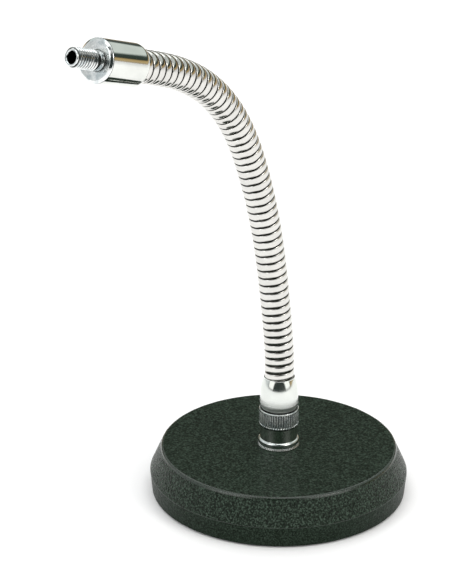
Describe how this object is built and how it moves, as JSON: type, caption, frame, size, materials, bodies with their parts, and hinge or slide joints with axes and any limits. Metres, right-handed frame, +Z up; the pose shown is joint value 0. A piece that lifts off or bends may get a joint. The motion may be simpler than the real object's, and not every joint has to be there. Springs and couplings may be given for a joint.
{
  "type": "desktop microphone stand",
  "caption": "Round weighted desk base with a chrome flexible gooseneck and a hollow threaded stud for a microphone clip.",
  "frame": {"origin": "centre of the pad's flat underside, on the table, on the base's own axis", "axes": "+Z up out of the table; the gooseneck lies in the Y-Z plane and leans towards -Y; X is across that plane"},
  "size_m": [0.14, 0.2213, 0.2748],
  "materials": {
    "cast_iron_paint": "satin wrinkle paint",
    "pad": "matt",
    "zinc": "zinc plated",
    "chrome": "polished",
    "chrome_ring": "polished, knurled",
    "neck_chrome": "polished winding",
    "neck_spring": "oiled spring wire"
  },
  "bodies": {
    "base": {"base_casting": "cast_iron_paint", "base_pad": "pad", "shank_washer": "zinc", "spring_washer": "zinc", "shank_nut": "zinc", "flange_washer": "chrome", "base_socket": "chrome"},
    "lock_ring": {"lock_ring": "chrome_ring"},
    "arm_foot": {"lower_ferrule": "chrome", "neck_band_01": "neck_chrome"},
    "core_01": {"neck_core_01": "neck_spring"},
    "link_02": {"neck_band_02": "neck_chrome"},
    "core_02": {"neck_core_02": "neck_spring"},
    "link_03": {"neck_band_03": "neck_chrome"},
    "core_03": {"neck_core_03": "neck_spring"},
    "link_04": {"neck_band_04": "neck_chrome"},
    "core_04": {"neck_core_04": "neck_spring"},
    "link_05": {"neck_band_05": "neck_chrome"},
    "core_05": {"neck_core_05": "neck_spring"},
    "link_06": {"neck_band_06": "neck_chrome"},
    "core_06": {"neck_core_06": "neck_spring"},
    "link_07": {"neck_band_07": "neck_chrome"},
    "core_07": {"neck_core_07": "neck_spring"},
    "link_08": {"neck_band_08": "neck_chrome"},
    "core_08": {"neck_core_08": "neck_spring"},
    "link_09": {"neck_band_09": "neck_chrome"},
    "core_09": {"neck_core_09": "neck_spring"},
    "link_10": {"neck_band_10": "neck_chrome"},
    "core_10": {"neck_core_10": "neck_spring"},
    "link_11": {"neck_band_11": "neck_chrome"},
    "core_11": {"neck_core_11": "neck_spring"},
    "link_12": {"neck_band_12": "neck_chrome"},
    "core_12": {"neck_core_12": "neck_spring"},
    "link_13": {"neck_band_13": "neck_chrome"},
    "core_13": {"neck_core_13": "neck_spring"},
    "link_14": {"neck_band_14": "neck_chrome"},
    "core_14": {"neck_core_14": "neck_spring"},
    "link_15": {"neck_band_15": "neck_chrome"},
    "core_15": {"neck_core_15": "neck_spring"},
    "link_16": {"neck_band_16": "neck_chrome"},
    "core_16": {"neck_core_16": "neck_spring"},
    "link_17": {"neck_band_17": "neck_chrome"},
    "core_17": {"neck_core_17": "neck_spring"},
    "tip": {"neck_band_18": "neck_chrome", "upper_ferrule": "chrome", "thread_stud": "chrome"}
  },
  "joints": [
    {"name": "arm_swivel", "type": "hinge", "parent": "base", "child": "arm_foot", "pos_m": [0, 0, 0.0303], "axis": [0, 0, 1], "range_deg": [-180, 180]},
    {"name": "lock_ring_turn", "type": "hinge", "parent": "base", "child": "lock_ring", "pos_m": [0, 0, 0.03835], "axis": [0, 0, 1], "range_deg": [-360, 0]},
    {"name": "lower_bend", "type": "hinge", "parent": "arm_foot", "child": "core_01", "pos_m": [0, -0.00025, 0.0798], "axis": [1, 0.0009, 0], "range_deg": [-7.5, 4.8]},
    {"name": "lower_sway", "type": "hinge", "parent": "core_01", "child": "link_02", "pos_m": [0, -0.00025, 0.0798], "axis": [0, 0.998, 0.064], "range_deg": [-7.5, 7.5]},
    {"name": "bend_02", "type": "hinge", "parent": "link_02", "child": "core_02", "pos_m": [0, -0.00171, 0.09307], "axis": [1, 0.0009, 0], "range_deg": [-7.7, 5]},
    {"name": "sway_02", "type": "hinge", "parent": "core_02", "child": "link_03", "pos_m": [0, -0.00171, 0.09307], "axis": [0, 0.9918, 0.1281], "range_deg": [-7.7, 7.7]},
    {"name": "bend_03", "type": "hinge", "parent": "link_03", "child": "core_03", "pos_m": [0, -0.00367, 0.10627], "axis": [1, 0.0009, 0], "range_deg": [-7.7, 5]},
    {"name": "sway_03", "type": "hinge", "parent": "core_03", "child": "link_04", "pos_m": [0, -0.00367, 0.10627], "axis": [0, 0.9889, 0.1484], "range_deg": [-7.7, 7.7]},
    {"name": "bend_04", "type": "hinge", "parent": "link_04", "child": "core_04", "pos_m": [0, -0.00567, 0.11947], "axis": [1, 0.0009, 0], "range_deg": [-7.7, 5]},
    {"name": "sway_04", "type": "hinge", "parent": "core_04", "child": "link_05", "pos_m": [0, -0.00567, 0.11947], "axis": [0, 0.9871, 0.1599], "range_deg": [-7.7, 7.7]},
    {"name": "bend_05", "type": "hinge", "parent": "link_05", "child": "core_05", "pos_m": [0, -0.00794, 0.13263], "axis": [1, 0.0009, 0], "range_deg": [-7.7, 5]},
    {"name": "sway_05", "type": "hinge", "parent": "core_05", "child": "link_06", "pos_m": [0, -0.00794, 0.13263], "axis": [0, 0.9823, 0.1874], "range_deg": [-7.7, 7.7]},
    {"name": "bend_06", "type": "hinge", "parent": "link_06", "child": "core_06", "pos_m": [0, -0.01067, 0.14569], "axis": [1, 0.0009, 0], "range_deg": [-7.7, 5]},
    {"name": "sway_06", "type": "hinge", "parent": "core_06", "child": "link_07", "pos_m": [0, -0.01067, 0.14569], "axis": [0, 0.974, 0.2266], "range_deg": [-7.7, 7.7]},
    {"name": "bend_07", "type": "hinge", "parent": "link_07", "child": "core_07", "pos_m": [0, -0.01399, 0.15863], "axis": [1, 0.0009, 0], "range_deg": [-7.7, 5]},
    {"name": "sway_07", "type": "hinge", "parent": "core_07", "child": "link_08", "pos_m": [0, -0.01399, 0.15863], "axis": [0, 0.9624, 0.2716], "range_deg": [-7.7, 7.7]},
    {"name": "bend_08", "type": "hinge", "parent": "link_08", "child": "core_08", "pos_m": [0, -0.01792, 0.17138], "axis": [1, 0.0009, 0], "range_deg": [-7.7, 5]},
    {"name": "sway_08", "type": "hinge", "parent": "core_08", "child": "link_09", "pos_m": [0, -0.01792, 0.17138], "axis": [0, 0.9486, 0.3166], "range_deg": [-7.7, 7.7]},
    {"name": "bend_09", "type": "hinge", "parent": "link_09", "child": "core_09", "pos_m": [0, -0.02244, 0.18395], "axis": [1, 0.0009, 0], "range_deg": [-5.23, 0.63]},
    {"name": "upper_sway", "type": "hinge", "parent": "core_09", "child": "link_10", "pos_m": [0, -0.02244, 0.18395], "axis": [0, 0.9328, 0.3603], "range_deg": [-7.5, 7.5]},
    {"name": "bend_10", "type": "hinge", "parent": "link_10", "child": "core_10", "pos_m": [0, -0.02754, 0.19628], "axis": [1, 0.0009, 0], "range_deg": [-9.52, 1.01]},
    {"name": "sway_10", "type": "hinge", "parent": "core_10", "child": "link_11", "pos_m": [0, -0.02754, 0.19628], "axis": [0, 0.9066, 0.422], "range_deg": [-7.7, 7.7]},
    {"name": "bend_11", "type": "hinge", "parent": "link_11", "child": "core_11", "pos_m": [0, -0.03369, 0.20813], "axis": [1, 0.0009, 0], "range_deg": [-12.47, 1.26]},
    {"name": "sway_11", "type": "hinge", "parent": "core_11", "child": "link_12", "pos_m": [0, -0.03369, 0.20813], "axis": [0, 0.8595, 0.5111], "range_deg": [-7.7, 7.7]},
    {"name": "bend_12", "type": "hinge", "parent": "link_12", "child": "core_12", "pos_m": [0, -0.04116, 0.2192], "axis": [1, 0.0009, 0], "range_deg": [-15, 1.48]},
    {"name": "sway_12", "type": "hinge", "parent": "core_12", "child": "link_13", "pos_m": [0, -0.04116, 0.2192], "axis": [0, 0.7882, 0.6154], "range_deg": [-7.7, 7.7]},
    {"name": "upper_bend", "type": "hinge", "parent": "link_13", "child": "core_13", "pos_m": [0, -0.05008, 0.22913], "axis": [1, 0.0009, 0], "range_deg": [-16.2, 1.4]},
    {"name": "sway_13", "type": "hinge", "parent": "core_13", "child": "link_14", "pos_m": [0, -0.05008, 0.22913], "axis": [0, 0.6912, 0.7227], "range_deg": [-7.7, 7.7]},
    {"name": "bend_14", "type": "hinge", "parent": "link_14", "child": "core_14", "pos_m": [0, -0.0604, 0.2376], "axis": [1, 0.0009, 0], "range_deg": [-16.04, 1.57]},
    {"name": "sway_14", "type": "hinge", "parent": "core_14", "child": "link_15", "pos_m": [0, -0.0604, 0.2376], "axis": [0, 0.5757, 0.8176], "range_deg": [-7.7, 7.7]},
    {"name": "bend_15", "type": "hinge", "parent": "link_15", "child": "core_15", "pos_m": [0, -0.07186, 0.24446], "axis": [1, 0.0009, 0], "range_deg": [-13.92, 1.39]},
    {"name": "sway_15", "type": "hinge", "parent": "core_15", "child": "link_16", "pos_m": [0, -0.07186, 0.24446], "axis": [0, 0.4578, 0.8891], "range_deg": [-7.7, 7.7]},
    {"name": "bend_16", "type": "hinge", "parent": "link_16", "child": "core_16", "pos_m": [0, -0.08409, 0.24979], "axis": [1, 0.0009, 0], "range_deg": [-10.03, 1.05]},
    {"name": "sway_16", "type": "hinge", "parent": "core_16", "child": "link_17", "pos_m": [0, -0.08409, 0.24979], "axis": [0, 0.3574, 0.9339], "range_deg": [-7.7, 7.7]},
    {"name": "bend_17", "type": "hinge", "parent": "link_17", "child": "core_17", "pos_m": [0, -0.09677, 0.25399], "axis": [1, 0.0009, 0], "range_deg": [-4.38, 0.56]},
    {"name": "sway_17", "type": "hinge", "parent": "core_17", "child": "tip", "pos_m": [0, -0.09677, 0.25399], "axis": [0, 0.2956, 0.9553], "range_deg": [-7.7, 7.7]}
  ],
  "couplings": [
    {"joint": "bend_02", "follows": "lower_bend", "ratio": 1},
    {"joint": "sway_02", "follows": "lower_sway", "ratio": 1},
    {"joint": "bend_03", "follows": "lower_bend", "ratio": 1},
    {"joint": "sway_03", "follows": "lower_sway", "ratio": 1},
    {"joint": "bend_04", "follows": "lower_bend", "ratio": 1},
    {"joint": "sway_04", "follows": "lower_sway", "ratio": 1},
    {"joint": "bend_05", "follows": "lower_bend", "ratio": 1},
    {"joint": "sway_05", "follows": "lower_sway", "ratio": 1},
    {"joint": "bend_06", "follows": "lower_bend", "ratio": 1},
    {"joint": "sway_06", "follows": "lower_sway", "ratio": 1},
    {"joint": "bend_07", "follows": "lower_bend", "ratio": 1},
    {"joint": "sway_07", "follows": "lower_sway", "ratio": 1},
    {"joint": "bend_08", "follows": "lower_bend", "ratio": 1},
    {"joint": "sway_08", "follows": "lower_sway", "ratio": 1},
    {"joint": "bend_09", "follows": "upper_bend", "ratio": 0.3105},
    {"joint": "bend_10", "follows": "upper_bend", "ratio": 0.5755},
    {"joint": "sway_10", "follows": "upper_sway", "ratio": 1},
    {"joint": "bend_11", "follows": "upper_bend", "ratio": 0.7576},
    {"joint": "sway_11", "follows": "upper_sway", "ratio": 1},
    {"joint": "bend_12", "follows": "upper_bend", "ratio": 0.9134},
    {"joint": "sway_12", "follows": "upper_sway", "ratio": 1},
    {"joint": "sway_13", "follows": "upper_sway", "ratio": 1},
    {"joint": "bend_14", "follows": "upper_bend", "ratio": 0.9778},
    {"joint": "sway_14", "follows": "upper_sway", "ratio": 1},
    {"joint": "bend_15", "follows": "upper_bend", "ratio": 0.8468},
    {"joint": "sway_15", "follows": "upper_sway", "ratio": 1},
    {"joint": "bend_16", "follows": "upper_bend", "ratio": 0.6069},
    {"joint": "sway_16", "follows": "upper_sway", "ratio": 1},
    {"joint": "bend_17", "follows": "upper_bend", "ratio": 0.2583},
    {"joint": "sway_17", "follows": "upper_sway", "ratio": 1}
  ]
}
